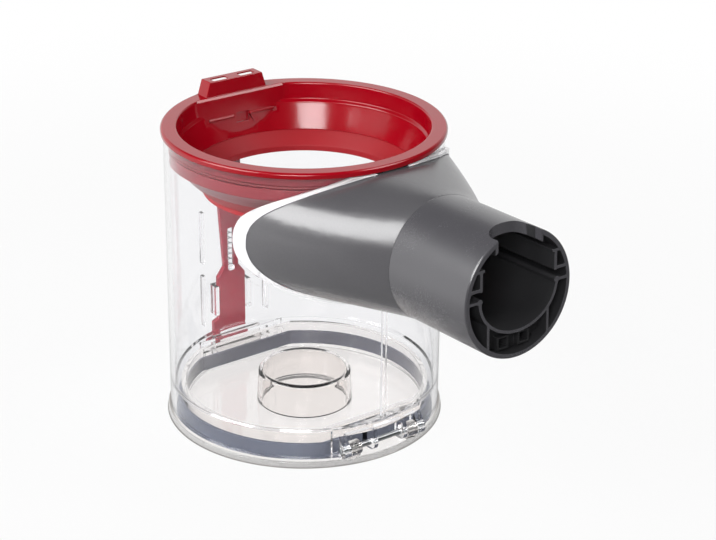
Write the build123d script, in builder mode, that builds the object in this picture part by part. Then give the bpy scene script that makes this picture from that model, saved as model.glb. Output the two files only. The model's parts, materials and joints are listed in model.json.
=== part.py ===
# Clear dust bin of a cyclone cleaner, with its collar, inlet nozzle and hinged base flap.
# Millimetres. The nozzle points to -Y and the bin stands on the underside of the flap at Z = 0.
import os
from math import cos, radians, sin, sqrt

from build123d import *

os.makedirs("parts", exist_ok=True)

# How far features moulded in one piece reach into each other, and how far cuts run past a face
merge = 0.5
past = 1.0

# Clear bin wall
bin_radius = 57.5
bin_wall = 2.0
bin_height = 121.9
bead_proud = 0.9
bead_height = 1.5
bead_land = 0.6
bin_inner = bin_radius - bin_wall

# Base flap
flap_overhang = 1.1
flap_thickness = 2.8
flap_gap = 0.6
flap_edge = 0.5
floor_thickness = 2.0
recess_inset = 2.0
recess_slope = 0.8
boss_radius = 20.5
boss_taper = 0.8
boss_height = 14.7
boss_wall = 1.8
boss_edge = 2.0
flap_radius = bin_radius + flap_overhang
bin_bottom = flap_thickness + flap_gap
bin_top = bin_bottom + bin_height

# Flat panels of the wall behind the hinge and behind the catch
panel_inset = 5.9
panel_wall = 1.8
pocket_half_width = 20.4
pocket_side = 1.6
pocket_height = 9.6
shelf_thickness = 2.0
panel_inner = bin_inner - panel_inset
panel_outer = panel_inner + panel_wall
pocket_top = bin_bottom + pocket_height
shelf_top = pocket_top + shelf_thickness

# Rib on the inside of the front wall
stiffener_width = 2.0
stiffener_proud = 1.2
stiffener_rise = 1.0
stiffener_height = 53.0

# Upstand of the flap and the seal round it
plug_gap = 2.6
plug_wall = 2.2
plug_height = 11.2
plug_corner = 3.0
seal_fit = 0.05
seal_lip_gap = 0.3
seal_setback = 1.3
seal_lip_height = 0.7
seal_height = 6.2
plug_radius = bin_inner - plug_gap
plug_flat = panel_inner - plug_gap

# Hinge across the front pocket
pin_radius = 1.2
pin_fit = 0.05
pin_proud = 0.5
pin_chamfer = 0.25
knuckle_radius = 3.2
knuckle_gap = 0.3
knuckle_rise = 0.5
ear_width = 3.2
arm_width = 5.0
arm_gap = 0.4
arm_toe = 1.3
lug_setback = 0.3
web_thickness = 2.0
web_left = -5.8
window_width = 6.4
window_height = 7.0
hinge_y = -(panel_outer + knuckle_radius + knuckle_gap)
hinge_z = flap_thickness + knuckle_radius + knuckle_rise
ear_inner = pocket_half_width - ear_width
arm_outer = ear_inner - arm_gap
arm_inner = arm_outer - arm_width
web_right = arm_inner - arm_gap - web_thickness
pin_half_length = pocket_half_width + pin_proud

# Catch in the rear pocket
catch_half_width = 12.5
catch_thickness = 1.4
catch_gap = 2.2
catch_height = 9.6
nib_depth = 0.3
nib_gap = 0.7
nib_height = 1.6
strap_gap = 0.3
strap_thickness = 1.6
strap_height = 2.5
strap_rise = 1.6
bracket_gap = 1.4
bracket_thickness = 1.2
catch_inner = panel_outer + catch_gap
catch_outer = catch_inner + catch_thickness
strap_inner = catch_outer + nib_depth + strap_gap
strap_outer = strap_inner + strap_thickness
strap_bottom = bin_bottom + strap_rise
strap_top = strap_bottom + strap_height
bracket_inner = catch_half_width + bracket_gap

# Release slide on the rear wall: block, neck and strip
slide_gap = 0.6
slide_thickness = 2.4
slide_headroom = 7.3
block_half_width = 7.35
block_rise = 8.9
block_height = 27.2
neck_half_width = 3.8
neck_taper = 4.5
neck_length = 35.5
strip_half_width = 6.2
slide_inner = bin_radius + slide_gap
slide_outer = slide_inner + slide_thickness
block_bottom = bin_bottom + block_rise
block_top = block_bottom + block_height
strip_start = block_top + neck_length
slide_top = bin_top - slide_headroom

# Leg and toe of the slide, and the nose that presses on the catch
toe_rise = 3.8
toe_reach = 13.0
toe_height = 3.0
toe_slope = 1.0
leg_reach = 10.2
leg_height = 6.3
leg_slope = 1.2
foot_notch_x = 6.0
foot_notch_height = 1.7
nose_start = 10.0
nose_width = 2.6
nose_rise = 3.4
nose_height = 1.8
nose_gap = 0.5
nose_slope = 0.4
toe_bottom = bin_bottom + toe_rise
nose_bottom = toe_bottom + nose_rise
nose_top = nose_bottom + nose_height

# Grooves of the block and push head of the strip
groove_count = 4
groove_pitch = 2.8
groove_width = 0.9
groove_depth = 0.6
groove_margin = 2.5
head_height = 9.0
head_proud = 2.2
head_land = 1.4

# Guides of the slide and runner ribs on the wall
guide_gap = 0.3
guide_wall = 2.0
guide_lip = 1.3
guide_cap = 1.4
low_guide_rise = 9.7
low_guide_height = 14.0
high_guide_drop = 22.0
high_guide_height = 10.0
runner_x = 17.0
runner_width = 1.6
runner_proud = 2.6
runner_rise = 5.0
runner_pitch = 30.0
runner_height = 24.0

# Return spring between the peg of the wall and the end of its slot in the slide
peg_half_width = 1.3
peg_height = 2.0
peg_rise = 2.5
slot_half_width = 1.8
slot_clearance = 0.4
spring_length = 18.0
spring_radius = 1.2
spring_wire = 0.24
spring_gap = 0.03
spring_turns = 7
peg_bottom = block_top + peg_rise
peg_top = peg_bottom + peg_height
slot_bottom = peg_bottom - slot_clearance
slot_top = peg_top + spring_length + 2 * spring_gap

# Red collar: flange, skirt, mouth and funnel
collar_fit = 0.3
collar_overhang = 1.0
collar_flange = 2.4
collar_skirt_wall = 3.45
collar_skirt_depth = 10.3
flange_edge = 0.7
mouth_edge = 0.5
mouth_draft = 0.3
step_drop = 4.8
step_depth = 1.25
step_height = 1.0
land_draft = 0.2
land_height = 1.0
funnel_drop = 16.9
funnel_inset = 5.75
funnel_foot = 2.4
skirt_toe = 2.2
skirt_toe_height = 1.2
flange_radius = bin_radius + collar_overhang
skirt_radius = bin_inner - collar_fit
mouth_radius = skirt_radius - collar_skirt_wall
step_radius = mouth_radius - mouth_draft - step_depth
step_z = bin_top - step_drop - step_height
collar_top = bin_top + collar_flange
skirt_low = bin_top - collar_skirt_depth
funnel_z = bin_top - funnel_drop
funnel_radius = mouth_radius - funnel_inset
foot_radius = funnel_radius + funnel_foot

# Rubber ring in a groove of the skirt
ring_drop = 4.7
ring_groove_height = 1.6
ring_groove_depth = 1.4
ring_fit = 0.1
ring_proud = 0.2
ring_inner_edge = 0.35
ring_outer_edge = 0.45
ring_groove_low = bin_top - ring_drop - ring_groove_height / 2
ring_groove_high = ring_groove_low + ring_groove_height
ring_groove_radius = skirt_radius - ring_groove_depth

# Flat pad at the rear of the mouth, with two ledges and a cell
pad_inset = 4.85
pad_edge = 0.9
pad_rise = 2.1
pad_tuck = 1.6
pad_lap = 0.6
pad_split = 5.5
ledge_width = 12.4
ledge_height = 0.9
ledge_proud = 0.7
ledge_drop = 7.5
ledge_left = -9.8
ledge_right = 10.4
cell_x = 1.0
cell_width = 6.0
cell_height = 4.4
cell_depth = 1.2
cell_drop = 8.7
pad_y = mouth_radius - pad_inset
pad_half_width = sqrt(mouth_radius ** 2 - pad_y ** 2)

# Hood behind the pad, open to the rear, with two holes in its roof
hood_shift = -1.2
hood_setback = 1.3
hood_half_width = 15.3
hood_top_half_width = 13.1
hood_height = 6.4
hood_depth = 7.0
hood_wall = 1.3
hood_roof = 0.6
hood_foot = 1.9
hood_floor = 0.6
hood_hole_spacing = 6.7
hood_hole_width = 7.6
hood_hole_depth = 3.5
hood_hole_corner = 0.8
hood_y = pad_y + hood_setback
hood_top = collar_top + hood_height

# Wiper lip
wiper_lap = 5.5
wiper_drop = 5.4
wiper_land = 2.5
wiper_wall = 1.6
wiper_root = 0.6
wiper_bore = funnel_radius - wiper_lap

# Inlet cowl, its foot and the gasket under it
cowl_reach = 33.0
cowl_wall = 2.0
cowl_setback = 7.1
cowl_flare = 1.35
cowl_drop = 1.2
cowl_overlap = 0.18
cowl_back = 11.5
cowl_headroom = 0.4
cowl_height = 55.2
# Share of each quarter of a section that its end tangents take: a round one at the seam, fuller at the root
round_quarter = 0.5523
full_right = 0.95
full_left = 0.73
full_low = 0.71
gasket_thickness = 0.4
gasket_width = 2.4
gasket_fit = 0.05
lip_gap = 0.4
lip_width = 2.6
lip_height = 1.8
lip_headroom = 0.3
cowl_half_width = bin_radius - cowl_setback
cowl_spread_y = cowl_overlap - sqrt(bin_radius ** 2 - cowl_half_width ** 2)
cowl_back_y = cowl_spread_y + cowl_back
cowl_top = bin_top - cowl_headroom
cowl_bottom = cowl_top - cowl_height

# Nozzle axis and sleeve
nozzle_tilt = 2.26
nozzle_headroom = 4.19
sleeve_length = 44.9
sleeve_radius = 25.05
sleeve_wall = 2.0
sleeve_edge = 0.8
bulkhead = 2.0
spigot_length = 5.0
spigot_wall = 1.6
spigot_fit = 0.15
nozzle_z = bin_top - nozzle_headroom - sleeve_radius
seam_reach = bin_radius + cowl_reach
mouth_reach = seam_reach + sleeve_length
sleeve_inner = sleeve_radius - sleeve_wall
spigot_radius = sleeve_radius - cowl_wall - spigot_fit
nozzle_axis = (0, -cos(radians(nozzle_tilt)), sin(radians(nozzle_tilt)))
nozzle_up = (0, sin(radians(nozzle_tilt)), cos(radians(nozzle_tilt)))
nozzle_plane = Plane(origin=(0, 0, nozzle_z), x_dir=(1, 0, 0), z_dir=nozzle_axis)
mouth_centre = (0, nozzle_axis[1] * mouth_reach, nozzle_z + nozzle_axis[2] * mouth_reach)
notch_plane = Plane(origin=mouth_centre, x_dir=(1, 0, 0), z_dir=nozzle_up)
seam_y = nozzle_axis[1] * seam_reach
seam_z = nozzle_z + nozzle_axis[2] * seam_reach

# Trough, ribs and brackets in the sleeve, and the notch over its mouth
trough_half_width = 17.6
trough_depth = 14.9
trough_wall = 1.3
trough_rise = 1.2
trough_bead = 1.2
trough_bead_shift = 0.7
web_height = 1.2
rib_x = 14.2
rib_thickness = 1.2
post_x = 17.6
post_rise = 9.2
post_width = 1.4
post_height = 8.2
upper_bar_x = 18.6
upper_bar_rise = 12.8
upper_bar_length = 5.2
lower_bar_x = 20.0
lower_bar_rise = 5.9
lower_bar_length = 6.2
bar_height = 1.2
notch_half_width = 10.0
notch_depth = 9.0
notch_corner = 6.0
notch_rim = 1.3
notch_rim_depth = 2.3
notch_floor = 12.0

# Duct from the sleeve to the port in the wall
duct_radius = 16.0
duct_wall = 1.4
duct_fit = 0.3
duct_end_gap = 0.4
port_radius = 17.0
port_x = 20.0
port_sink = 1.78
port_drop = 28.3
port_edge = port_x + port_radius + duct_wall + duct_fit
port_y = port_sink - sqrt(bin_inner ** 2 - port_edge ** 2)

# Contacts under the trough
housing_gap = 0.15
housing_recess = 5.0
housing_length = 18.0
housing_drop = 4.0
socket_x = 5.0
socket_width = 3.8
socket_height = 3.6
socket_depth = 9.0
socket_drop = 18.9
socket_rim = 0.9
socket_proud = 2.4
terminal_width = 2.2
terminal_thickness = 0.8
terminal_recess = 4.0
housing_back = mouth_reach - housing_recess - housing_length
socket_front = housing_back + housing_length + socket_proud
socket_floor = socket_front - socket_depth


def plug_layer(grow, bottom, height, mode=Mode.ADD):
    # Outline of the upstand, a circle with two flats, grown and extruded
    radius = plug_radius + grow
    with BuildSketch(Plane.XY.offset(bottom)) as outline:
        Circle(radius)
        Rectangle(2 * radius, 2 * (plug_flat + grow), mode=Mode.INTERSECT)
        fillet(outline.vertices(), radius=plug_corner + grow)
    extrude(outline.sketch, amount=height, mode=mode)


def cowl_section(plane, half_width, half_height, share):
    # Oval of four curves, whose quarters fill out towards the root
    right, left, low = [round_quarter + share * (full - round_quarter)
                        for full in (full_right, full_left, full_low)]
    with BuildSketch(plane) as section:
        with BuildLine():
            Bezier((half_width, 0), (half_width, right * half_height), (right * half_width, half_height),
                   (0, half_height))
            Bezier((0, half_height), (-left * half_width, half_height), (-half_width, left * half_height),
                   (-half_width, 0))
            Bezier((-half_width, 0), (-half_width, -low * half_height), (-low * half_width, -half_height),
                   (0, -half_height))
            Bezier((0, -half_height), (low * half_width, -half_height), (half_width, -low * half_height),
                   (half_width, 0))
        make_face()
    return section.sketch.face()


def cowl_form(grow, mode=Mode.ADD):
    # Lofted form of the cowl from the round seam to the wide root, grown outwards
    seam_radius = sleeve_radius + grow
    sections = [cowl_section(nozzle_plane.offset(seam_reach), seam_radius, seam_radius, 0)]
    stations = [(share, seam_y + share * (cowl_spread_y - seam_y)) for share in (0.25, 0.5, 0.75, 1.0)]
    for share, y in stations + [(1.0, cowl_back_y)]:
        half_width = cowl_half_width - (cowl_half_width - sleeve_radius) * (1 - share) ** cowl_flare
        sink = 1 - (1 - share) ** cowl_drop
        low = (seam_z - sleeve_radius) * (1 - sink) + cowl_bottom * sink
        high = (seam_z + sleeve_radius) * (1 - sink) + cowl_top * sink
        plane = Plane(origin=(0, y, (low + high) / 2), x_dir=(1, 0, 0), z_dir=(0, -1, 0))
        sections.append(cowl_section(plane, half_width + grow, (high - low) / 2 + grow, share))
    loft(sections, mode=mode)


def duct_form(grow, mode=Mode.ADD):
    # Lofted form of the duct from the back of the sleeve to the port
    with BuildSketch(nozzle_plane.offset(seam_reach)) as front:
        with Locations((0, trough_rise)):
            Circle(duct_radius + grow)
    port_plane = Plane(origin=(port_x, port_y, bin_top - port_drop), x_dir=(1, 0, 0), z_dir=(0, -1, 0))
    with BuildSketch(port_plane) as port:
        Circle(port_radius + grow)
    loft([front.sketch.face(), port.sketch.face()], mode=mode)


def tube(radius, bottom, top, mode=Mode.ADD):
    # Upright cylinder on the bin axis
    with BuildSketch(Plane.XY.offset(bottom)) as disc:
        Circle(radius)
    extrude(disc.sketch, amount=top - bottom, mode=mode)


def turned(points, mode=Mode.ADD):
    # Profile of radius and height turned about the bin axis
    with BuildSketch(Plane.XZ) as profile:
        with BuildLine():
            Polyline(points, close=True)
        make_face()
    revolve(profile.sketch, axis=Axis.Z, mode=mode)


def slab(plane, points, thickness, mode=Mode.ADD):
    # Closed outline on a plane, extruded along its normal
    with BuildSketch(plane) as outline:
        with BuildLine():
            Polyline(points, close=True)
        make_face()
    extrude(outline.sketch, amount=thickness, mode=mode)


def knuckle(start, width, outline):
    # Round eye on the hinge axis, joined with an outline in the same plane
    with BuildSketch(Plane.YZ.offset(start)) as profile:
        with Locations((hinge_y, hinge_z)):
            Circle(knuckle_radius)
        with BuildLine():
            Polyline(outline, close=True)
        make_face()
    extrude(profile.sketch, amount=width)


def hinge_lug(start, width, root_y):
    # Lug of the bin that carries the pin, from the panel and the shelf down round the hinge axis
    back = merge - panel_outer
    ceiling = pocket_top + merge
    foot = hinge_z - knuckle_radius
    knuckle(start, width, [(hinge_y - knuckle_radius, hinge_z), (root_y, ceiling), (back, ceiling),
                           (back, foot), (hinge_y, foot)])


def wall_y(x):
    # Distance of the outside of the wall from the bin axis plane at a given X
    return sqrt(bin_radius ** 2 - x ** 2)


def mirrored(points):
    # Points of the right half of an outline about the hood's middle, followed by those of the left half
    right = [(hood_shift + x, z) for x, z in points]
    left = [(hood_shift - x, z) for x, z in reversed(points)]
    return right + left


# Moulded lip on the wall round the root of the cowl
with BuildPart() as port_lip:
    cowl_form(lip_gap + lip_width)
    cowl_form(lip_gap, mode=Mode.SUBTRACT)
    tube(bin_radius + lip_height, bin_bottom, bin_top - lip_headroom, mode=Mode.INTERSECT)
    tube(bin_radius - merge, bin_bottom, bin_top, mode=Mode.SUBTRACT)

# Hollow of the lower wall, with the two flat panels
with BuildSketch() as lower_hollow:
    Circle(bin_inner)
    for side in (-1, 1):
        with Locations((0, side * (panel_inner + bin_radius / 2))):
            Rectangle(2 * (pocket_half_width + pocket_side), bin_radius, mode=Mode.SUBTRACT)

# Clear bin body
with BuildPart() as bin_body:
    # Lower wall with open pockets
    with BuildSketch(Plane.XY.offset(bin_bottom)):
        Circle(bin_radius)
        add(lower_hollow.sketch, mode=Mode.SUBTRACT)
        for side in (-1, 1):
            with Locations((0, side * (panel_outer + bin_radius / 2))):
                Rectangle(2 * pocket_half_width, bin_radius, mode=Mode.SUBTRACT)
    extrude(amount=pocket_height)
    # Hinge ears, webs, pin hole and window
    ear_root = lug_setback - wall_y(pocket_half_width)
    hinge_lug(-pocket_half_width - lug_setback, ear_width + lug_setback, ear_root)
    hinge_lug(ear_inner, ear_width + lug_setback, ear_root)
    hinge_lug(web_left, web_thickness, lug_setback - wall_y(web_left))
    hinge_lug(web_right, web_thickness, lug_setback - wall_y(web_right + web_thickness))
    with BuildSketch(Plane.YZ.offset(-pin_half_length - past)):
        with Locations((hinge_y, hinge_z)):
            Circle(pin_radius + pin_fit)
    extrude(amount=2 * (pin_half_length + past), mode=Mode.SUBTRACT)
    with BuildSketch(Plane.XY.offset(bin_bottom)):
        with Locations((web_left - window_width / 2, -(panel_inner + panel_outer) / 2)):
            Rectangle(window_width, panel_wall + past)
    extrude(amount=window_height, mode=Mode.SUBTRACT)
    # Strap of the catch between two brackets
    for start in (-bracket_inner - bracket_thickness, bracket_inner):
        slab(Plane.YZ.offset(start), [(panel_outer - merge, strap_bottom), (strap_outer, strap_bottom),
             (strap_outer, strap_top), (panel_outer - merge, pocket_top + merge)], bracket_thickness)
    with BuildSketch(Plane.XY.offset(strap_bottom)):
        with Locations((0, (strap_inner + strap_outer) / 2)):
            Rectangle(2 * bracket_inner + bracket_thickness, strap_thickness)
    extrude(amount=strap_height)
    # Shelves over the pockets, and the upper wall with its stop bead
    with BuildSketch(Plane.XY.offset(pocket_top)):
        Circle(bin_radius)
        add(lower_hollow.sketch, mode=Mode.SUBTRACT)
    extrude(amount=shelf_thickness)
    turned([(bin_inner - bead_proud, shelf_top), (bin_radius, shelf_top), (bin_radius, bin_top),
            (bin_inner, bin_top), (bin_inner, shelf_top + bead_height),
            (bin_inner - bead_proud, shelf_top + bead_land)])
    # Guides of the release slide, low ones for the block and high ones for the strip
    for half_width, bottom, height in ((block_half_width, block_bottom + low_guide_rise, low_guide_height),
                                       (strip_half_width, slide_top - high_guide_drop, high_guide_height)):
        inside = half_width + guide_gap
        outside = inside + guide_wall
        lip_y = slide_outer + guide_gap
        for side in (-1, 1):
            outline = [(inside, wall_y(inside) - merge), (outside, wall_y(outside) - merge),
                       (outside, lip_y + guide_cap), (inside - guide_lip, lip_y + guide_cap),
                       (inside - guide_lip, lip_y), (inside, lip_y)]
            slab(Plane.XY.offset(bottom), [(side * x, y) for x, y in outline], height)
    # Runner ribs beside the slide, and the peg of its spring
    for x in (-runner_x, runner_x):
        for bottom in (shelf_top + runner_rise, shelf_top + runner_rise + runner_pitch):
            with BuildSketch(Plane.XY.offset(bottom)):
                with Locations((x, wall_y(x) + (runner_proud - past) / 2)):
                    Rectangle(runner_width, runner_proud + past)
            extrude(amount=runner_height)
    with BuildSketch(Plane.XY.offset(peg_bottom)):
        with Locations((0, (bin_radius - merge + slide_outer) / 2)):
            Rectangle(2 * peg_half_width, slide_outer - bin_radius + merge)
    extrude(amount=peg_height)
    # Rib on the inside of the front wall
    with BuildSketch(Plane.XY.offset(shelf_top + stiffener_rise)):
        with Locations((0, (stiffener_proud - merge) / 2 - bin_inner)):
            Rectangle(stiffener_width, stiffener_proud + merge)
    extrude(amount=stiffener_height)
    # Lip and opening of the inlet port
    add(port_lip.part)
    duct_form(duct_wall + duct_fit, mode=Mode.SUBTRACT)
bin_body.part.label = "bin_body"
export_step(bin_body.part, "parts/bin_body.step")

# Base flap
with BuildPart() as base_flap:
    floor_z = flap_thickness - floor_thickness
    recess_radius = plug_radius - recess_inset
    boss_top = flap_thickness + boss_height
    boss_roof = [(0, boss_top - boss_wall), (boss_radius - boss_taper - boss_wall, boss_top - boss_wall),
                 (boss_radius - boss_wall, floor_z)]
    boss_side = [(boss_radius, flap_thickness), (boss_radius - boss_taper, boss_top), (0, boss_top)]
    rim = [(recess_radius, floor_z), (recess_radius + recess_slope, 0), (flap_radius - flap_edge, 0),
           (flap_radius, flap_edge), (flap_radius, flap_thickness - flap_edge),
           (flap_radius - flap_edge, flap_thickness)]
    turned(boss_roof + rim + boss_side)
    # Upstand with its two flats, cleared inside down to the floor round the boss
    plug_layer(0, flap_thickness - merge, plug_height + merge)
    plug_layer(-plug_wall, flap_thickness, plug_height, mode=Mode.SUBTRACT)
    turned(boss_roof + [(boss_radius + past, floor_z), (boss_radius + past, flap_thickness)] + boss_side)
    fillet(base_flap.edges().group_by(Axis.Z)[-1], radius=boss_edge)
    # Hinge arms with their knuckles and the pin hole
    for start in (-arm_outer, arm_inner):
        arm_foot = flap_thickness - merge
        knuckle(start, arm_width, [(hinge_y - knuckle_radius, hinge_z), (hinge_y + knuckle_radius, hinge_z),
                                   (hinge_y + knuckle_radius, arm_foot), (hinge_y - arm_toe, arm_foot)])
    with BuildSketch(Plane.YZ.offset(-arm_outer - past)):
        with Locations((hinge_y, hinge_z)):
            Circle(pin_radius + pin_fit)
    extrude(amount=2 * (arm_outer + past), mode=Mode.SUBTRACT)
    # Catch tongue with its nib
    catch_top = flap_thickness + catch_height
    nib_z = strap_top + nib_gap
    slab(Plane.YZ.offset(-catch_half_width), [(catch_inner, flap_thickness - merge),
         (catch_outer, flap_thickness - merge), (catch_outer, nib_z), (catch_outer + nib_depth, nib_z),
         (catch_outer, nib_z + nib_height), (catch_outer, catch_top), (catch_inner, catch_top)],
         2 * catch_half_width)
base_flap.part.label = "base_flap"
export_step(base_flap.part, "parts/base_flap.step")

# Seal round the upstand
with BuildPart() as base_seal:
    plug_layer(plug_gap - seal_lip_gap, flap_thickness, seal_lip_height)
    plug_layer(plug_gap - seal_setback, flap_thickness, seal_height)
    plug_layer(seal_fit, flap_thickness, seal_height, mode=Mode.SUBTRACT)
base_seal.part.label = "base_seal"
export_step(base_seal.part, "parts/base_seal.step")

# Hinge pin
with BuildPart() as hinge_pin:
    with BuildSketch(Plane.YZ.offset(-pin_half_length)):
        with Locations((hinge_y, hinge_z)):
            Circle(pin_radius)
    extrude(amount=2 * pin_half_length)
    chamfer(hinge_pin.edges().filter_by(GeomType.CIRCLE), length=pin_chamfer)
hinge_pin.part.label = "hinge_pin"
export_step(hinge_pin.part, "parts/hinge_pin.step")

# Release slide
with BuildPart() as release_slide:
    block = block_half_width
    neck_z = block_top + neck_taper
    leg_top = block_bottom + leg_height
    slab(Plane.XZ.offset(-slide_outer), [
        (-strip_half_width, slide_top), (strip_half_width, slide_top), (strip_half_width, strip_start),
        (neck_half_width, neck_z), (block, block_top), (block, block_bottom), (-foot_notch_x, block_bottom),
        (-block, block_bottom - foot_notch_height), (-block, toe_bottom), (-toe_reach, toe_bottom),
        (-toe_reach, toe_bottom + toe_height), (-leg_reach, toe_bottom + toe_height + toe_slope),
        (-leg_reach, leg_top), (-block, leg_top + leg_slope), (-block, block_top), (-neck_half_width, neck_z),
        (-strip_half_width, strip_start)], slide_thickness)
    # Slot of the spring, grooves of the block, push head and nose
    with BuildSketch(Plane.XZ.offset(-slide_outer - past)):
        with Locations((0, (slot_bottom + slot_top) / 2)):
            Rectangle(2 * slot_half_width, slot_top - slot_bottom)
    extrude(amount=slide_thickness + 2 * past, mode=Mode.SUBTRACT)
    with BuildSketch(Plane.XZ.offset(-slide_outer)):
        with Locations((0, (block_bottom + block_top) / 2)):
            with GridLocations(groove_pitch, 0, groove_count, 1):
                Rectangle(groove_width, block_height - 2 * groove_margin)
    extrude(amount=groove_depth, mode=Mode.SUBTRACT)
    slab(Plane.YZ.offset(-strip_half_width), [(slide_outer - merge, slide_top - head_height),
         (slide_outer + head_proud, slide_top - head_land), (slide_outer + head_proud, slide_top),
         (slide_outer - merge, slide_top)], 2 * strip_half_width)
    nose_y = catch_outer + nose_gap
    slab(Plane.YZ.offset(-nose_start), [(nose_y, nose_bottom), (slide_inner + merge, nose_bottom),
         (slide_inner + merge, nose_top), (nose_y + nose_slope, nose_top)], nose_width)
release_slide.part.label = "release_slide"
export_step(release_slide.part, "parts/release_slide.step")

# Return spring of the slide
with BuildPart() as slide_spring:
    coil_bottom = peg_top + spring_gap + spring_wire
    coil_length = spring_length - 2 * spring_wire
    with BuildLine(Plane(origin=(0, (slide_inner + slide_outer) / 2, coil_bottom))) as coil:
        Helix(pitch=coil_length / spring_turns, height=coil_length, radius=spring_radius)
    with BuildSketch(Plane(origin=coil.line @ 0, z_dir=coil.line % 0)):
        Circle(spring_wire)
    sweep(path=coil.line, is_frenet=True)
slide_spring.part.label = "slide_spring"
export_step(slide_spring.part, "parts/slide_spring.step")

# Red collar
with BuildPart() as collar_ring:
    turned([(mouth_radius + mouth_edge, collar_top), (flange_radius - flange_edge, collar_top),
            (flange_radius, collar_top - flange_edge), (flange_radius, bin_top), (skirt_radius, bin_top),
            (skirt_radius, ring_groove_high), (ring_groove_radius, ring_groove_high),
            (ring_groove_radius, ring_groove_low), (skirt_radius, ring_groove_low), (skirt_radius, skirt_low),
            (skirt_radius - skirt_toe, skirt_low - skirt_toe_height), (foot_radius, funnel_z),
            (funnel_radius, funnel_z), (step_radius - land_draft, step_z - land_height), (step_radius, step_z),
            (mouth_radius - mouth_draft, bin_top - step_drop), (mouth_radius, collar_top - mouth_edge)])
    # Flat pad at the rear, with its ledges and cell
    for radius, bottom, top in ((mouth_radius - pad_tuck, funnel_z + pad_rise, bin_top - pad_split),
                                (mouth_radius + pad_lap, bin_top - pad_split - merge, collar_top)):
        with BuildSketch(Plane.XY.offset(bottom)):
            Circle(radius)
            with Locations((0, pad_y + radius)):
                Rectangle(2 * radius, 2 * radius, mode=Mode.INTERSECT)
        extrude(amount=top - bottom)
    slab(Plane.YZ.offset(-pad_half_width), [(pad_y, collar_top), (pad_y, collar_top - pad_edge),
         (pad_y + pad_edge, collar_top)], 2 * pad_half_width, mode=Mode.SUBTRACT)
    with BuildSketch(Plane.XZ.offset(-pad_y - merge)):
        with Locations((ledge_left, bin_top - ledge_drop), (ledge_right, bin_top - ledge_drop)):
            Rectangle(ledge_width, ledge_height)
    extrude(amount=ledge_proud + merge)
    with BuildSketch(Plane.XZ.offset(-pad_y - cell_depth)):
        with Locations((cell_x, bin_top - cell_drop)):
            Rectangle(cell_width, cell_height)
    extrude(amount=cell_depth + past, mode=Mode.SUBTRACT)
    # Hood with its hollow, whose floor is let into the flange, and the two holes
    slab(Plane.XZ.offset(-hood_y - hood_depth), mirrored([
        (hood_half_width, collar_top - merge), (hood_top_half_width, hood_top)]), hood_depth)
    slab(Plane.XZ.offset(-flange_radius - past), mirrored([
        (hood_half_width - hood_foot, collar_top - hood_floor),
        (hood_top_half_width - hood_wall, hood_top - hood_roof)]),
        flange_radius + past - hood_y - hood_wall, mode=Mode.SUBTRACT)
    with BuildSketch(Plane.XY.offset(hood_top - 2 * hood_roof)):
        with Locations((hood_shift, hood_y + hood_wall + hood_hole_depth / 2)):
            with GridLocations(2 * hood_hole_spacing, 0, 2, 1):
                RectangleRounded(hood_hole_width, hood_hole_depth, hood_hole_corner)
    extrude(amount=2 * hood_roof + past, mode=Mode.SUBTRACT)
collar_ring.part.label = "collar_ring"
export_step(collar_ring.part, "parts/collar_ring.step")

# Rubber ring in the groove of the collar
with BuildPart() as collar_seal:
    ring_low = ring_groove_low + ring_fit
    ring_high = ring_groove_high - ring_fit
    ring_in = ring_groove_radius + ring_fit
    ring_out = skirt_radius + ring_proud
    turned([(ring_in, ring_low + ring_inner_edge), (ring_in + ring_inner_edge, ring_low),
            (ring_out - ring_outer_edge, ring_low), (ring_out, ring_low + ring_outer_edge),
            (ring_out, ring_high - ring_outer_edge), (ring_out - ring_outer_edge, ring_high),
            (ring_in + ring_inner_edge, ring_high), (ring_in, ring_high - ring_inner_edge)])
collar_seal.part.label = "collar_seal"
export_step(collar_seal.part, "parts/collar_seal.step")

# Soft wiper lip under the funnel
with BuildPart() as wiper_lip:
    land_z = funnel_z - wiper_drop
    turned([(funnel_radius, funnel_z), (wiper_bore, land_z), (wiper_bore, land_z - wiper_land),
            (wiper_bore + wiper_wall, land_z - wiper_land), (wiper_bore + wiper_wall, land_z - wiper_root),
            (foot_radius, funnel_z)])
wiper_lip.part.label = "wiper_lip"
export_step(wiper_lip.part, "parts/wiper_lip.step")

# Inlet cowl
with BuildPart() as inlet_cowl:
    cowl_form(0)
    cowl_form(-cowl_wall, mode=Mode.SUBTRACT)
    tube(bin_radius + gasket_thickness + 2 * gasket_fit, bin_bottom, collar_top, mode=Mode.SUBTRACT)
inlet_cowl.part.label = "inlet_cowl"
export_step(inlet_cowl.part, "parts/inlet_cowl.step")

# Gasket under the foot of the cowl
with BuildPart() as port_gasket:
    tube(bin_radius + gasket_fit + gasket_thickness, bin_bottom, collar_top)
    tube(bin_radius + gasket_fit, bin_bottom, collar_top, mode=Mode.SUBTRACT)
    cowl_form(0, mode=Mode.INTERSECT)
    cowl_form(-gasket_width, mode=Mode.SUBTRACT)
port_gasket.part.label = "port_gasket"
export_step(port_gasket.part, "parts/port_gasket.step")

# Inlet duct
with BuildPart() as inlet_duct:
    duct_form(duct_wall)
    duct_form(0, mode=Mode.SUBTRACT)
    tube(bin_inner + duct_end_gap, bin_bottom, collar_top, mode=Mode.SUBTRACT)
inlet_duct.part.label = "inlet_duct"
export_step(inlet_duct.part, "parts/inlet_duct.step")

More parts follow.
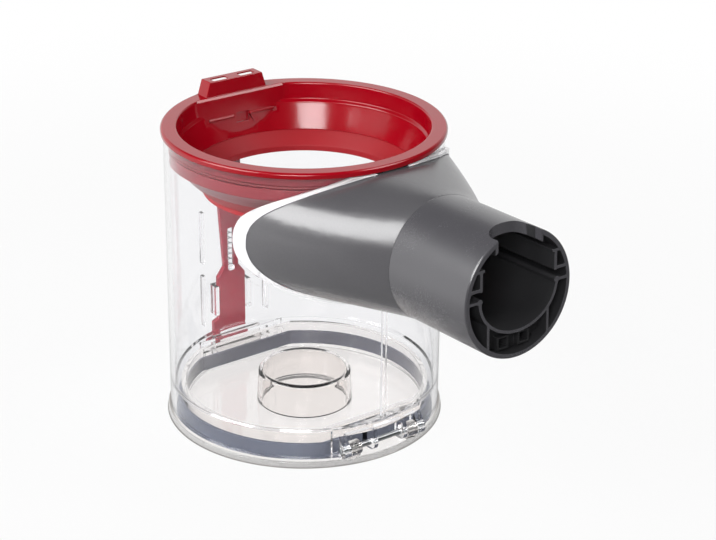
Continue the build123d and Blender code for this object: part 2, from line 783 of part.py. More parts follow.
# Hollow of the sleeve, left solid round the notch for its rim
with BuildPart() as sleeve_core:
    with BuildSketch(nozzle_plane.offset(seam_reach + bulkhead)):
        Circle(sleeve_inner)
    extrude(amount=sleeve_length)
    with BuildSketch(notch_plane.offset(notch_floor)):
        RectangleRounded(2 * (notch_half_width + notch_rim), 2 * (notch_depth + notch_rim),
                         notch_corner + notch_rim)
    extrude(amount=sleeve_radius, mode=Mode.SUBTRACT)
    with BuildSketch(nozzle_plane.offset(seam_reach + bulkhead)):
        Circle(sleeve_inner - notch_rim_depth)
    extrude(amount=sleeve_length)

# Nozzle sleeve
with BuildPart() as nozzle_sleeve:
    with BuildSketch(nozzle_plane.offset(seam_reach)):
        Circle(sleeve_radius)
    extrude(amount=sleeve_length)
    fillet(nozzle_sleeve.faces().sort_by(Axis.Y)[0].edges(), radius=sleeve_edge)
    with BuildSketch(nozzle_plane.offset(seam_reach - spigot_length)):
        Circle(spigot_radius)
        Circle(spigot_radius - spigot_wall, mode=Mode.SUBTRACT)
    extrude(amount=spigot_length)
    add(sleeve_core.part, mode=Mode.SUBTRACT)
    # Opening of the duct through the bulkhead, and the notch over the mouth
    with BuildSketch(nozzle_plane.offset(seam_reach)):
        with Locations((0, trough_rise)):
            Circle(duct_radius)
    extrude(amount=bulkhead, mode=Mode.SUBTRACT)
    with BuildSketch(notch_plane.offset(notch_floor)):
        RectangleRounded(2 * notch_half_width, 2 * notch_depth, notch_corner)
    extrude(amount=sleeve_radius, mode=Mode.SUBTRACT)
    # Trough, webs, ribs and brackets along the sleeve
    with BuildSketch(nozzle_plane.offset(seam_reach + bulkhead - merge)):
        with Locations((0, trough_rise)):
            Ellipse(trough_half_width + trough_wall, trough_depth + trough_wall)
        for side in (-1, 1):
            with Locations((side * rib_x, -sleeve_radius / 2)):
                Rectangle(rib_thickness, sleeve_radius)
        with Locations((0, trough_rise)):
            Ellipse(trough_half_width, trough_depth, mode=Mode.SUBTRACT)
        with Locations((0, trough_rise + sleeve_radius)):
            Rectangle(2 * sleeve_radius, 2 * sleeve_radius, mode=Mode.SUBTRACT)
        for side in (-1, 1):
            with Locations((side * (sleeve_radius + trough_half_width) / 2, trough_rise)):
                Rectangle(sleeve_radius - trough_half_width, web_height)
            with Locations((side * (trough_half_width + trough_bead_shift), trough_rise)):
                Circle(trough_bead)
            with Locations((side * post_x, post_rise)):
                Rectangle(post_width, post_height)
            with Locations((side * upper_bar_x, upper_bar_rise)):
                Rectangle(upper_bar_length, bar_height)
            with Locations((side * lower_bar_x, lower_bar_rise)):
                Rectangle(lower_bar_length, bar_height)
        Circle(sleeve_inner + merge, mode=Mode.INTERSECT)
    extrude(amount=sleeve_length - bulkhead + merge)
nozzle_sleeve.part.label = "nozzle_sleeve"
export_step(nozzle_sleeve.part, "parts/nozzle_sleeve.step")

# Contact housing between the ribs, under the trough
with BuildPart() as contact_housing:
    with BuildSketch(nozzle_plane.offset(housing_back)):
        Circle(sleeve_inner - housing_gap)
        with Locations((0, trough_rise)):
            Ellipse(trough_half_width + trough_wall + housing_gap, trough_depth + trough_wall + housing_gap,
                    mode=Mode.SUBTRACT)
        with Locations((0, -sleeve_radius)):
            Rectangle(2 * rib_x - rib_thickness - 2 * housing_gap, 2 * (sleeve_radius - housing_drop),
                      mode=Mode.INTERSECT)
    extrude(amount=housing_length)
    # Sockets with rims that stand out of the face
    for rim, depth, mode in ((socket_rim, socket_proud + merge, Mode.ADD), (0, socket_depth, Mode.SUBTRACT)):
        with BuildSketch(nozzle_plane.offset(socket_front - depth)):
            with Locations((0, -socket_drop)):
                with GridLocations(2 * socket_x, 0, 2, 1):
                    Rectangle(socket_width + 2 * rim, socket_height + 2 * rim)
        extrude(amount=depth, mode=mode)
contact_housing.part.label = "contact_housing"
export_step(contact_housing.part, "parts/contact_housing.step")

# Pair of contact terminals, standing on the floors of the sockets
with BuildPart() as contact_terminals:
    with BuildSketch(nozzle_plane.offset(socket_floor)):
        with Locations((0, -socket_drop)):
            with GridLocations(2 * socket_x, 0, 2, 1):
                Rectangle(terminal_width, terminal_thickness)
    extrude(amount=socket_depth - terminal_recess)
contact_terminals.part.label = "contact_terminals"
export_step(contact_terminals.part, "parts/contact_terminals.step")
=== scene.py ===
# Looks and studio for a clear cyclone dust bin with a red collar and a grey inlet nozzle
import json
import math
import bmesh
import bpy
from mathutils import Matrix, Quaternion, Vector
from mathutils.geometry import convex_hull_2d


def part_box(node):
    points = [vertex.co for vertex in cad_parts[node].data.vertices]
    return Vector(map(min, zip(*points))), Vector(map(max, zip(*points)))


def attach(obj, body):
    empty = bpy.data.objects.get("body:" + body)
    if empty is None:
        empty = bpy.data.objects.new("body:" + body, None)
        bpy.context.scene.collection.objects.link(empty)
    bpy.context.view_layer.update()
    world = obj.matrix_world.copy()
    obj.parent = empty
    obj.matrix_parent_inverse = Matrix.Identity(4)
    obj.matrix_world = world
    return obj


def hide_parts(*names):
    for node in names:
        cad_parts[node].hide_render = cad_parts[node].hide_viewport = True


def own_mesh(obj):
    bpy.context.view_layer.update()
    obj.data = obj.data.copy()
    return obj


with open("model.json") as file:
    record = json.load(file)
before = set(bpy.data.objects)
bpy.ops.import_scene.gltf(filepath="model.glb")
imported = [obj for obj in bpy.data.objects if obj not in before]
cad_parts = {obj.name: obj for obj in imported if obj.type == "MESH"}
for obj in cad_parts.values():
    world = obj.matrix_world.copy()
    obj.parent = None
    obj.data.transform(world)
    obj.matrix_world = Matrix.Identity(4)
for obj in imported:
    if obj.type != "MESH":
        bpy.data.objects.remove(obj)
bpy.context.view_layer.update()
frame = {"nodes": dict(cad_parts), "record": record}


# a socket that takes part in Python sums
class Wire:
    def __init__(self, board, socket):
        self.board = board
        self.socket = socket

    def other(self, name):
        return Wire(self.board, self.socket.node.outputs[name])

    def maths(self, operation, first, second):
        return self.board.node("ShaderNodeMath", {"operation": operation}, {0: first, 1: second})

    def __add__(self, value):
        return self.maths("ADD", self, value)

    def __radd__(self, value):
        return self.maths("ADD", value, self)

    def __rsub__(self, value):
        return self.maths("SUBTRACT", value, self)

    def __mul__(self, value):
        return self.maths("MULTIPLY", self, value)

    def __rmul__(self, value):
        return self.maths("MULTIPLY", value, self)

    def atLeast(self, value):
        return self.maths("MAXIMUM", self, value)


# a node tree that is filled by one method
class Board:
    def __init__(self, tree):
        self.tree = tree
        self.tree.nodes.clear()

    def node(self, kind, settings=None, inputs=None, output=0):
        made = self.tree.nodes.new(kind)
        for name, value in (settings or {}).items():
            if name == "stops":
                self.fillRamp(made.color_ramp, value)
            else:
                setattr(made, name, value)
        for name, value in (inputs or {}).items():
            if isinstance(value, Wire):
                self.tree.links.new(value.socket, made.inputs[name])
            else:
                made.inputs[name].default_value = value
        return Wire(self, made.outputs[output]) if made.outputs else made

    def fillRamp(self, ramp, stops):
        while len(ramp.elements) < len(stops):
            ramp.elements.new(1.0)
        for element, (place, value) in zip(ramp.elements, stops):
            element.position = place
            element.color = (value, value, value, 1)


# a material on Object coordinates
class Finish(Board):
    def __init__(self, name):
        self.material = bpy.data.materials.new(name)
        self.material.use_nodes = True
        super().__init__(self.material.node_tree)
        self.place = self.node("ShaderNodeTexCoord", output="Object")

    def noise(self, size, detail, stretch=(1, 1, 1)):
        spread = self.node("ShaderNodeMapping", {"vector_type": "POINT"}, {
            "Vector": self.place, "Scale": stretch})
        return self.node("ShaderNodeTexNoise", {}, {"Vector": spread, "Scale": 1 / size, "Detail": detail})

    def ramp(self, value, stops):
        return self.node("ShaderNodeValToRGB", {"stops": stops}, {"Fac": value})

    def mix(self, share, first, second):
        # inputs 6 and 7 and output 2 are the colours of this node
        return self.node("ShaderNodeMix", {"data_type": "RGBA"}, {0: share, 6: first, 7: second}, output=2)

    def bump(self, height, strength, depth):
        return self.node("ShaderNodeBump", {}, {"Height": height, "Strength": strength, "Distance": depth})

    def surface(self, values):
        return self.node("ShaderNodeBsdfPrincipled", {}, values)

    def close(self, shader):
        self.node("ShaderNodeOutputMaterial", {}, {"Surface": shader})
        return self.material


def paint(red, green, blue):
    # screen values of 0 to 255 as the linear colour that a shader takes
    shares = [value / 255 for value in (red, green, blue)]
    linear = [share / 12.92 if share <= 10 / 255 else ((share + 0.055) / 1.055) ** 2.4 for share in shares]
    return (*linear, 1)


# finishes

octaves = {"smear": 5, "swell": 1, "cloud": 3, "speck": 1, "grain": 2, "wave": 1, "draw": 3, "tarnish": 4}
wallClear = {"tint": paint(251, 251, 252), "clear": 1.0, "ior": 1.36, "rough": 0.01, "smear": 0.03,
             "smearSize": 0.03, "smearAlong": (1, 1, 0.35), "smearStops": [(0.5, 0), (0.72, 1)],
             "wave": 0.02, "waveSize": 0.035, "waveAlong": (1, 1, 0.4), "waveDepth": 0.0002}
flapClear = dict(wallClear, tint=paint(249, 246, 244), rough=0.03, smear=0.06)
# the lip's finish is half white: painted reflection in place of the light that the clear lip refracts
lipFrost = dict(wallClear, clear=0.6, rough=0.12)


def clearPlastic(name, look):
    finish = Finish(name)
    patches = finish.noise(look["smearSize"], octaves["smear"], look["smearAlong"])
    smear = finish.ramp(patches, look["smearStops"])
    swell = finish.noise(look["waveSize"], octaves["swell"], look["waveAlong"])
    shader = finish.surface({"Base Color": look["tint"], "IOR": look["ior"],
                             "Transmission Weight": look["clear"],
                             "Roughness": look["rough"] + look["smear"] * smear,
                             "Normal": finish.bump(swell, look["wave"], look["waveDepth"])})
    # lamps shine through the wall, so what stands inside is lit
    shade = finish.node("ShaderNodeLightPath", output="Is Shadow Ray")
    through = finish.node("ShaderNodeBsdfTransparent", {}, {"Color": look["tint"]})
    return finish.close(finish.node("ShaderNodeMixShader", {}, {0: shade, 1: shader, 2: through}))


def mouldedPlastic(name, look):
    finish = Finish(name)
    cloud = finish.noise(look["cloudSize"], octaves["cloud"])
    speck = finish.noise(look["speckSize"], octaves["speck"])
    grain = finish.noise(look["grainSize"], octaves["grain"])
    wave = finish.noise(look["waveSize"], octaves["wave"])
    colour = finish.mix(cloud * look["cloud"] + speck * look["speck"], look["dark"], look["light"])
    rough = look["rough"] + look["roughVary"] * cloud + look["roughGrain"] * grain
    height = finish.bump(grain * look["grain"] + wave * look["wave"], look["bump"], look["depth"])
    return finish.close(finish.surface({"Base Color": colour, "Roughness": rough, "Normal": height,
                                        "IOR": look["ior"], "Coat Weight": look["coat"],
                                        "Coat Roughness": look["coatRough"]}))


collarRed = {"dark": paint(136, 0, 14), "light": paint(158, 1, 22), "cloud": 0.7, "speck": 0.2,
             "cloudSize": 0.02, "speckSize": 0.0006, "grainSize": 0.0004, "waveSize": 0.012, "rough": 0.12,
             "roughVary": 0.08, "roughGrain": 0.04, "grain": 0.25, "wave": 1.0, "bump": 0.1, "depth": 0.0003,
             "ior": 1.5, "coat": 0.1, "coatRough": 0.08}
wiperRed = {"dark": paint(136, 0, 12), "light": paint(160, 2, 22), "cloud": 0.6, "speck": 0.3,
            "cloudSize": 0.015, "speckSize": 0.0005, "grainSize": 0.0003, "waveSize": 0.01, "rough": 0.46,
            "roughVary": 0.1, "roughGrain": 0.08, "grain": 0.6, "wave": 0.6, "bump": 0.16, "depth": 0.0002,
            "ior": 1.45, "coat": 0.0, "coatRough": 0.1}
cowlGrey = {"dark": paint(70, 69, 72), "light": paint(86, 85, 88), "cloud": 0.5, "speck": 0.45,
            "cloudSize": 0.03, "speckSize": 0.00045, "grainSize": 0.0004, "waveSize": 0.02, "rough": 0.15,
            "roughVary": 0.1, "roughGrain": 0.06, "grain": 0.25, "wave": 1.0, "bump": 0.1, "depth": 0.0004,
            "ior": 1.85, "coat": 0.0, "coatRough": 0.1}
sleeveGrey = {"dark": paint(62, 61, 65), "light": paint(76, 75, 79), "cloud": 0.5, "speck": 0.45,
              "cloudSize": 0.025, "speckSize": 0.0004, "grainSize": 0.00035, "waveSize": 0.02, "rough": 0.18,
              "roughVary": 0.1, "roughGrain": 0.06, "grain": 0.2, "wave": 1.0, "bump": 0.12, "depth": 0.0003,
              "ior": 1.9, "coat": 0.0, "coatRough": 0.1}
linerBlack = {"dark": paint(24, 24, 25), "light": paint(38, 38, 40), "cloud": 0.5, "speck": 0.4,
              "cloudSize": 0.02, "speckSize": 0.0005, "grainSize": 0.0004, "waveSize": 0.02, "rough": 0.45,
              "roughVary": 0.12, "roughGrain": 0.1, "grain": 0.7, "wave": 0.3, "bump": 0.2, "depth": 0.0002,
              "ior": 1.5, "coat": 0.0, "coatRough": 0.1}
sealSlate = {"dark": paint(66, 70, 82), "light": paint(86, 90, 102), "cloud": 0.5, "speck": 0.4,
             "cloudSize": 0.015, "speckSize": 0.0005, "grainSize": 0.0004, "waveSize": 0.01, "rough": 0.5,
             "roughVary": 0.12, "roughGrain": 0.1, "grain": 0.6, "wave": 0.5, "bump": 0.2, "depth": 0.0002,
             "ior": 1.45, "coat": 0.0, "coatRough": 0.1}
# the gasket is painted grey instead of its black: painted light, so that its shaded crescent behind the lip
# reads less dark
gasketGrey = dict(linerBlack, dark=paint(60, 60, 62), light=paint(76, 76, 78), rough=0.5)
ringMaroon = dict(wiperRed, dark=paint(92, 22, 28), light=paint(112, 30, 36))
# the mouth's finish is a darker grey: painted shade inside the bore
mouthGrey = dict(sleeveGrey, dark=paint(30, 30, 32), light=paint(40, 40, 42), rough=0.5, ior=1.5)
slideRed = dict(collarRed, dark=paint(130, 8, 34), light=paint(152, 14, 44), rough=0.26)
# the skirt's finish is a darker, greyer red: painted shade under the flange and painted reflection of the
# wall in front
skirtRed = dict(collarRed, dark=paint(104, 28, 36), light=paint(124, 40, 48), rough=0.3)


def drawnMetal(name, look):
    finish = Finish(name)
    draw = finish.noise(look["drawSize"], octaves["draw"], look["drawAlong"])
    tarnish = finish.noise(look["tarnishSize"], octaves["tarnish"])
    colour = finish.mix(tarnish, look["dark"], look["light"])
    rough = look["rough"] + look["roughVary"] * draw
    return finish.close(finish.surface({"Base Color": colour, "Metallic": 1.0, "Roughness": rough,
                                        "Normal": finish.bump(draw, look["bump"], look["depth"])}))


pinSteel = {"dark": paint(150, 152, 154), "light": paint(186, 188, 190), "drawSize": 0.0004,
            "drawAlong": (0.1, 1, 1), "tarnishSize": 0.004, "rough": 0.22, "roughVary": 0.15, "bump": 0.1,
            "depth": 0.0001}
# the terminals are painted much paler than brass: painted light in the shaded socket
contactBrass = {"dark": paint(176, 164, 140), "light": paint(214, 204, 184), "drawSize": 0.0004,
                "drawAlong": (1, 0.1, 1), "tarnishSize": 0.003, "rough": 0.26, "roughVary": 0.15, "bump": 0.1,
                "depth": 0.0001}

clearLooks = {"wallClear": wallClear, "flapClear": flapClear, "lipFrost": lipFrost}
mouldedLooks = {"collarRed": collarRed, "wiperRed": wiperRed, "cowlGrey": cowlGrey, "sleeveGrey": sleeveGrey,
                "mouthGrey": mouthGrey, "linerBlack": linerBlack, "sealSlate": sealSlate,
                "gasketGrey": gasketGrey, "ringMaroon": ringMaroon, "slideRed": slideRed,
                "skirtRed": skirtRed}
metalLooks = {"pinSteel": pinSteel, "contactBrass": contactBrass}
finishes = {}
for makeFinish, looks in ((clearPlastic, clearLooks), (mouldedPlastic, mouldedLooks),
                          (drawnMetal, metalLooks)):
    for finishName, finishLook in looks.items():
        finishes[finishName] = makeFinish(finishName, finishLook)
print("finishes:", len(finishes))


# moulded pieces, each a merged copy of its CAD node with softened edges

mergeGap = 2e-6
flatAngle = math.radians(0.4)
edgeAngle = math.radians(32)
edgeSteps = 2
edgeProfile = 0.5
roomShare = 2.3  # room beside an edge, in widths of its rounding
roundGap = 4e-5  # how far the corners of a round wall's face may differ in reach
roundShare = 0.9995  # how squarely such a face looks at the axis
mouldings = {
    "bin_body": {"piece": "binWall", "body": "bin", "slot": "clear_plastic", "finish": "wallClear",
                 "edge": 0.00015, "rows": 0.005, "turned": True},
    "base_flap": {"piece": "baseFlap", "body": "flap", "slot": "clear_plastic", "finish": "flapClear",
                  "edge": 0.0002, "rows": 0.003, "turned": True},
    "base_seal": {"piece": "baseSeal", "body": "flap", "slot": "slate_rubber", "finish": "sealSlate",
                  "edge": 0.0002},
    "collar_ring": {"piece": "collarRing", "body": "bin", "slot": "red_plastic", "finish": "collarRed",
                    "edge": 0.0003},
    "wiper_lip": {"piece": "wiperLip", "body": "bin", "slot": "red_rubber", "finish": "wiperRed",
                  "edge": 0.0003},
    "inlet_cowl": {"piece": "inletCowl", "body": "bin", "slot": "grey_plastic", "finish": "cowlGrey",
                   "edge": 0.0002},
    "nozzle_sleeve": {"piece": "nozzleSleeve", "body": "bin", "slot": "grey_plastic", "finish": "sleeveGrey",
                      "edge": 0.0002},
    "inlet_duct": {"piece": "inletDuct", "body": "bin", "slot": "dark_plastic", "finish": "linerBlack",
                   "edge": 0.0002},
    "port_gasket": {"piece": "portGasket", "body": "bin", "slot": "black_rubber", "finish": "gasketGrey",
                    "edge": 0.0001},
    "collar_seal": {"piece": "collarSeal", "body": "bin", "slot": "red_rubber", "finish": "ringMaroon",
                    "edge": 0.0002},
    "contact_housing": {"piece": "contactHousing", "body": "bin", "slot": "dark_plastic",
                        "finish": "linerBlack", "edge": 0.0002},
    "contact_terminals": {"piece": "contactTerminals", "body": "bin", "slot": "brass",
                          "finish": "contactBrass", "edge": 0.00015},
    "hinge_pin": {"piece": "hingePin", "body": "bin", "slot": "steel", "finish": "pinSteel", "edge": 0.0001},
    "release_slide": {"piece": "releaseSlide", "body": "slide", "slot": "red_plastic", "finish": "slideRed",
                      "edge": 0.0003},
}


def plainMesh(piece):
    # the modifiers' result as the piece's own mesh
    graph = bpy.context.evaluated_depsgraph_get()
    made = bpy.data.meshes.new_from_object(piece.evaluated_get(graph))
    piece.modifiers.clear()
    piece.data = made


def cutRows(shape, box, step):
    # level cuts, so that a tall wall shades evenly beside what stands on it
    level = box[0].z + step
    while level < box[1].z:
        everything = shape.verts[:] + shape.edges[:] + shape.faces[:]
        bmesh.ops.bisect_plane(shape, geom=everything, dist=mergeGap,
                               plane_co=(0, 0, level), plane_no=(0, 0, 1))
        level += step


def mergedCopy(node, name, rows=None):
    mesh = frame["nodes"][node].data.copy()
    shape = bmesh.new()
    shape.from_mesh(mesh)
    bmesh.ops.remove_doubles(shape, verts=shape.verts, dist=mergeGap)
    bmesh.ops.dissolve_degenerate(shape, edges=shape.edges, dist=mergeGap)
    bmesh.ops.dissolve_limit(shape, angle_limit=flatAngle, verts=shape.verts, edges=shape.edges)
    if rows:
        cutRows(shape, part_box(node), rows)
    shape.to_mesh(mesh)
    shape.free()
    mesh.materials.clear()
    piece = bpy.data.objects.new(name, mesh)
    bpy.context.scene.collection.objects.link(piece)
    return piece


def roomy(edge, width):
    # an edge whose neighbours leave room for its rounding
    sides = [side.edge for loop in edge.link_loops for side in (loop.link_loop_prev, loop.link_loop_next)]
    return len(edge.link_faces) == 2 and min(side.calc_length() for side in sides) > roomShare * width


def softenEdges(piece, width):
    shape = bmesh.new()
    shape.from_mesh(piece.data)
    corners = [edge for edge in shape.edges if edge.calc_face_angle(0) > edgeAngle and roomy(edge, width)]
    bmesh.ops.bevel(shape, geom=corners, offset=width, offset_type="OFFSET", segments=edgeSteps,
                    profile=edgeProfile, affect="EDGES", clamp_overlap=False)
    shape.to_mesh(piece.data)
    shape.free()
    piece.data.shade_smooth()
    piece.data.set_sharp_from_angle(angle=edgeAngle)
    weighted = piece.modifiers.new("normals", "WEIGHTED_NORMAL")
    weighted.mode = "FACE_AREA"
    weighted.keep_sharp = True
    plainMesh(piece)


def turnNormals(piece):
    # exact normals on walls that are round about the bin's axis, so that they don't ripple
    mesh = piece.data
    normals = [corner.vector.copy() for corner in mesh.corner_normals]
    for face in mesh.polygons:
        points = [mesh.vertices[index].co.xy for index in face.vertices]
        reach = [point.length for point in points]
        facing = face.normal.xy.dot(face.center.xy.normalized())
        if max(reach) - min(reach) < roundGap and abs(facing) > roundShare:
            for spot, point in zip(face.loop_indices, points):
                normals[spot] = (point.normalized() * math.copysign(1, facing)).to_3d()
    mesh.normals_split_custom_set(normals)


# wall is the wall's outer radius, and the lip's face lies above low and more than rim outside it
# the cutter goes from trim inside the lip's outline to beyond outside it, and starts skin off the wall
# lip faces farther from the axis than the last reach here take the painted reflection
lip = {"wall": 0.0575, "low": 0.05, "rim": 0.0016, "top": 0.1245, "runOn": 0.01, "trim": 0.0019,
       "beyond": 0.0009, "skin": 2e-5, "above": 0.002, "steps": 8, "paintedReflectionFrom": 0.0577}


def lipCutter():
    # a ring that lies on the wall and takes off the outer part of the port's lip
    spots = [vertex.co for vertex in frame["nodes"]["bin_body"].data.vertices]
    flat = [Vector((spot.x, spot.z)) for spot in spots
            if spot.y < 0 and spot.z > lip["low"] and spot.xy.length > lip["wall"] + lip["rim"]]
    rim = [flat[index] for index in convex_hull_2d(flat)]
    # the lip ends level under the collar, and there its outline runs on for the cut
    level = [spot.y > lip["top"] for spot in rim]
    start = [index for index in range(len(rim)) if level[index - 1] and not level[index]][0]
    rim = [spot for spot in rim[start:] + rim[:start] if spot.y < lip["top"]]
    first = rim[0] + (rim[0] - rim[1]).normalized() * lip["runOn"]
    last = rim[-1] + (rim[-1] - rim[-2]).normalized() * lip["runOn"]
    rim = [first] + rim + [last]
    outward = []
    for before, after in zip(rim[-1:] + rim[:-1], rim[1:] + rim[:1]):
        run = (after - before).normalized()
        outward.append(Vector((run.y, -run.x)))
    outward[0], outward[-1] = outward[1], outward[-2]
    steps = [step / lip["steps"] for step in range(lip["steps"] + 1)]
    under, over = lip["wall"] + lip["skin"], lip["wall"] + lip["rim"] + lip["above"]
    tracks = [(step, under) for step in steps] + [(step, over) for step in reversed(steps)]
    corners = []
    for share, reach in tracks:
        for spot, way in zip(rim, outward):
            place = spot + way * (share * lip["beyond"] - (1 - share) * lip["trim"])
            corners.append((place.x, -math.sqrt(reach ** 2 - place.x ** 2), place.y))
    around, rings = len(rim), len(tracks)
    faces = [(ring * around + spot, ring * around + (spot + 1) % around,
              (ring + 1) % rings * around + (spot + 1) % around, (ring + 1) % rings * around + spot)
             for ring in range(rings) for spot in range(around)]
    mesh = bpy.data.meshes.new("lipCutter")
    mesh.from_pydata(corners, [], faces)
    shape = bmesh.new()
    shape.from_mesh(mesh)
    bmesh.ops.recalc_face_normals(shape, faces=shape.faces)
    shape.to_mesh(mesh)
    shape.free()
    cutter = bpy.data.objects.new("lipCutter", mesh)
    bpy.context.scene.collection.objects.link(cutter)
    return cutter


def trimLip(piece):
    # the lip shows as a narrow band round the cowl's foot
    cutter = lipCutter()
    trim = piece.modifiers.new("trim", "BOOLEAN")
    trim.operation, trim.solver, trim.object = "DIFFERENCE", "EXACT", cutter
    trim.use_self = True
    plainMesh(piece)
    bpy.data.objects.remove(cutter)


def paintLipReflection(piece):
    # the lip is painted whiter than the wall that it stands on: a half-frosted finish as painted reflection,
    # in place of the white light that the clear lip refracts
    piece.data.materials.append(finishes["lipFrost"])
    for face in piece.data.polygons:
        if face.center.y < 0 and face.center.z > lip["low"] and face.center.xy.length > lip["paintedReflectionFrom"]:
            face.material_index = 1


# faces below top that face outward get the skirt's painted shade
skirt = {"top": 0.1243, "facing": -0.2}  # below top, and not turned towards the axis


def paintSkirtShade(piece):
    # behind the wall the collar's skirt is painted darker and greyer than its flange of the same moulding:
    # painted shade under the flange and painted reflection of the wall in front of it
    piece.data.materials.append(finishes["skirtRed"])
    for face in piece.data.polygons:
        if face.center.z < skirt["top"] and face.normal.xy.dot(face.center.xy.normalized()) > skirt["facing"]:
            face.material_index = 1


def settle(piece, body, slot, *nodes):
    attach(piece, body)
    if nodes:
        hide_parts(*nodes)


# the faces chosen here, inside the bore, get the painted shade
mouth = {"reach": 0.0242, "across": 0.6}  # nearer the nozzle's axis than reach, and not an end face


def paintMouthShade(piece):
    # painted shade: the bore and its ribs are darker than the sleeve's skin and its end faces, though they
    # are one moulding
    socket = [mount for mount in frame["record"]["mounts"] if mount["name"] == "wand_socket"][0]
    foot, along = Vector(socket["pos_m"]), Vector(socket["axis"]).normalized()
    piece.data.materials.append(finishes["mouthGrey"])
    for face in piece.data.polygons:
        offset = face.center - foot
        reach = (offset - along * offset.dot(along)).length
        if reach < mouth["reach"] and abs(face.normal.dot(along)) < mouth["across"]:
            face.material_index = 1


secondFinishes = {"nozzle_sleeve": paintMouthShade, "bin_body": paintLipReflection, "collar_ring": paintSkirtShade}
for node, facts in mouldings.items():
    moulding = mergedCopy(node, facts["piece"], facts.get("rows"))
    if node == "bin_body":
        trimLip(moulding)
    softenEdges(moulding, facts["edge"])
    if facts.get("turned"):
        turnNormals(moulding)
    moulding.data.materials.clear()
    moulding.data.materials.append(finishes[facts["finish"]])
    if node in secondFinishes:
        secondFinishes[node](moulding)
    settle(moulding, facts["body"], facts["slot"], node)
    print("piece:", facts["piece"], len(moulding.data.polygons), "faces")


# return spring of the slide, wound by Geometry Nodes

spring = {"turns": 7.0, "coil": 0.0012, "wire": 0.00024, "steps": 28, "round": 10, "travelShare": 0.861}


def nodeGroup(name, sizes):
    tree = bpy.data.node_groups.new(name, "GeometryNodeTree")
    tree.interface.new_socket("Geometry", in_out="INPUT", socket_type="NodeSocketGeometry")
    for size, kind in sizes.items():
        tree.interface.new_socket(size, in_out="INPUT", socket_type=kind)
    tree.interface.new_socket("Geometry", in_out="OUTPUT", socket_type="NodeSocketGeometry")
    return tree


def grow(name, tree, values, material):
    # an object made by a tree alone, as a plain mesh
    piece = bpy.data.objects.new(name, bpy.data.meshes.new(name))
    bpy.context.scene.collection.objects.link(piece)
    modifier = piece.modifiers.new(name, "NODES")
    modifier.node_group = tree
    for item in tree.interface.items_tree:
        if item.in_out == "INPUT" and item.name in values:
            modifier[item.identifier] = values[item.name]
    plainMesh(piece)
    piece.data.materials.clear()
    piece.data.materials.append(material)
    return piece


def windSpring():
    tree = nodeGroup("springWinding", {"Turns": "NodeSocketFloat", "Coil": "NodeSocketFloat",
                                       "Wire": "NodeSocketFloat", "Height": "NodeSocketFloat",
                                       "Foot": "NodeSocketVector"})
    board = Board(tree)
    sizes = board.node("NodeGroupInput", output="Turns")
    helix = board.node("GeometryNodeCurveSpiral", {}, {
        "Resolution": spring["steps"], "Rotations": sizes, "Start Radius": sizes.other("Coil"),
        "End Radius": sizes.other("Coil"), "Height": sizes.other("Height")})
    placed = board.node("GeometryNodeTransform", {}, {"Geometry": helix, "Translation": sizes.other("Foot")})
    section = board.node("GeometryNodeCurvePrimitiveCircle", {}, {
        "Resolution": spring["round"], "Radius": sizes.other("Wire")})
    wire = board.node("GeometryNodeCurveToMesh", {}, {
        "Curve": placed, "Profile Curve": section, "Fill Caps": True})
    smooth = board.node("GeometryNodeSetShadeSmooth", {}, {"Geometry": wire})
    single = board.node("GeometryNodeRealizeInstances", {}, {"Geometry": smooth})
    dressed = board.node("GeometryNodeSetMaterial", {}, {
        "Geometry": single, "Material": finishes["pinSteel"]})
    board.node("NodeGroupOutput", {}, {"Geometry": dressed})
    low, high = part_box("slide_spring")
    middle = (low + high) / 2
    piece = grow("slideSpring", tree, {
        "Turns": spring["turns"], "Coil": spring["coil"], "Wire": spring["wire"],
        "Height": high.z - low.z - 2 * spring["wire"], "Foot": (middle.x, middle.y, low.z + spring["wire"])},
        finishes["pinSteel"])
    settle(piece, "bin", "steel", "slide_spring")
    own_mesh(piece)
    print("piece: slideSpring", len(piece.data.polygons), "faces")


windSpring()


# studio

# the rim colours paint a contact shadow on the floor, in a ring under the flap's rim
studio = {"floorSize": 6.0, "floorShade": 0.5, "floorGlow": 0.93, "shadowReach": (0.22, 0.6),
          "ambient": 0.22, "white": (1, 1, 1, 1), "frontShade": (0.1, 0.1, 0.1, 1), "sweep": (-0.2, 0.2),
          "rimFrom": (0.0562, 0.058), "rimTo": (0.0588, 0.059), "rimPaintedShadow": (0.3, 0.29, 0.28, 1)}
room = {"wallTop": (0.36, 0.6), "ceilingMirror": 0.05, "ceilingClear": 0.8, "back": (-0.15, 0.45)}
lamps = {
    "leftSoftbox": {"place": (-0.9, 0.2, 0.86), "size": (0.87, 0.69), "power": 13.0},
    "frontSoftbox": {"place": (-0.74, -0.79, 0.64), "size": (0.5, 0.45), "power": 9.0},
    "topSoftbox": {"place": (0.55, -0.46, 0.98), "size": (0.5, 0.4), "power": 4.0},
}
lampAim = Vector((0, -0.02, 0.08))


def rayKinds(board):
    # rays that look at the studio: straight or through the clear plastic, and mirrored
    path = board.node("ShaderNodeLightPath", output="Is Camera Ray")
    through = path.other("Is Transmission Ray")
    return path, through, path.other("Is Glossy Ray") * (1 - through)


def smoothStep(board, value, low, high, first, last):
    return board.node("ShaderNodeMapRange", {"interpolation_type": "SMOOTHSTEP"}, {
        "Value": value, "From Min": low, "From Max": high, "To Min": first, "To Max": last})


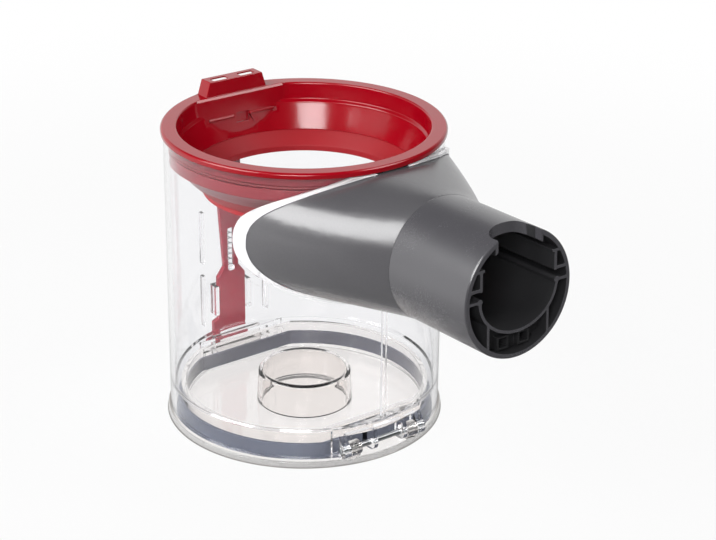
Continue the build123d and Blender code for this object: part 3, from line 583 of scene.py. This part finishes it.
def layFloor():
    half = studio["floorSize"] / 2
    mesh = bpy.data.meshes.new("floor")
    corners = [(-half, -half, 0), (half, -half, 0), (half, half, 0), (-half, half, 0)]
    mesh.from_pydata(corners, [], [(0, 1, 2, 3)])
    floor = bpy.data.objects.new("floor", mesh)
    bpy.context.scene.collection.objects.link(floor)
    finish = Finish("floorWhite")
    shade = studio["floorShade"]
    matt = finish.node("ShaderNodeBsdfDiffuse", {}, {"Color": (shade, shade, shade, 1)})
    straight, through, mirrored = rayKinds(finish)
    # in reflections the white sweep ends in front of the bin
    along = finish.node("ShaderNodeSeparateXYZ", {}, {0: finish.place}, output="Y")
    front = smoothStep(finish, along, *studio["sweep"], 1.0, 0.0)
    distance = finish.node("ShaderNodeVectorMath", {"operation": "LENGTH"}, {0: finish.place}, output="Value")
    # under the flap the floor is white, with a painted contact shadow: a grey ring where its rim stands
    rim = smoothStep(finish, distance, *studio["rimFrom"], 0.0, 1.0)
    foot = finish.mix(rim, studio["white"], studio["rimPaintedShadow"])
    glow = finish.node("ShaderNodeEmission", {}, {
        "Color": finish.mix(mirrored, foot, finish.mix(front, studio["white"], studio["frontShade"]))})
    under = smoothStep(finish, distance, *studio["rimTo"], 1.0, 0.0)
    # the shadow fades into pure white away from the bin
    white = smoothStep(finish, distance, *studio["shadowReach"], studio["floorGlow"], 1.0)
    # the white itself is the room's, seen through the floor, so that the open flap under it shows
    clear = finish.node("ShaderNodeBsdfTransparent", {}, {"Color": studio["white"]})
    bright = finish.node("ShaderNodeMixShader", {}, {0: mirrored.atLeast(under), 1: clear, 2: glow})
    share = (straight + through) * white + mirrored + straight.other("Is Shadow Ray")
    whole = finish.node("ShaderNodeMixShader", {}, {0: share, 1: matt, 2: bright})
    mesh.materials.append(finish.close(whole))


def lightRoom():
    world = bpy.data.worlds.new("studio")
    bpy.context.scene.world = world
    world.use_nodes = True
    board = Board(world.node_tree)
    straight, through, mirrored = rayKinds(board)
    # white walls under a dark ceiling, and in reflections a dark front
    upward = board.node("ShaderNodeSeparateXYZ", {}, {
        0: board.node("ShaderNodeTexCoord", output="Generated")}, output="Z")
    wallsClear = smoothStep(board, upward, *room["wallTop"], 1.0, room["ceilingClear"])
    wallsMirror = smoothStep(board, upward, *room["wallTop"], 1.0, room["ceilingMirror"])
    back = smoothStep(board, upward.other("Y"), *room["back"], room["ceilingMirror"], 1.0)
    unseen = 1 - (straight + through + mirrored)
    strength = straight + through * wallsClear + mirrored * wallsMirror * back + unseen * studio["ambient"]
    sky = board.node("ShaderNodeBackground", {}, {"Color": studio["white"], "Strength": strength})
    board.node("ShaderNodeOutputWorld", {}, {"Surface": sky})
    for name, lamp in lamps.items():
        data = bpy.data.lights.new(name, "AREA")
        data.shape = "RECTANGLE"
        data.size, data.size_y = lamp["size"]
        data.energy = lamp["power"]
        light = bpy.data.objects.new(name, data)
        light.location = lamp["place"]
        light.rotation_mode = "QUATERNION"
        light.rotation_quaternion = (lampAim - light.location).to_track_quat("-Z", "Y")
        bpy.context.scene.collection.objects.link(light)


camera = {"place": Vector((-0.435846, -0.622412, 0.397353)), "aim": Vector((0.018055, -0.013457, 0.062385)),
          "roll": 0.6, "lens": 99.326, "sensor": 36.0}


def setCamera():
    data = bpy.data.cameras.new("camera")
    data.lens = camera["lens"]
    data.sensor_width = camera["sensor"]
    seat = bpy.data.objects.new("camera", data)
    seat.location = camera["place"]
    seat.rotation_mode = "QUATERNION"
    level = (camera["aim"] - camera["place"]).to_track_quat("-Z", "Y")
    seat.rotation_quaternion = level @ Quaternion((0, 0, 1), math.radians(camera["roll"]))
    bpy.context.scene.collection.objects.link(seat)
    bpy.context.scene.camera = seat


layFloor()
lightRoom()
setCamera()
bpy.context.scene.view_settings.view_transform = "Standard"
print("studio:", len(lamps), "lamps")
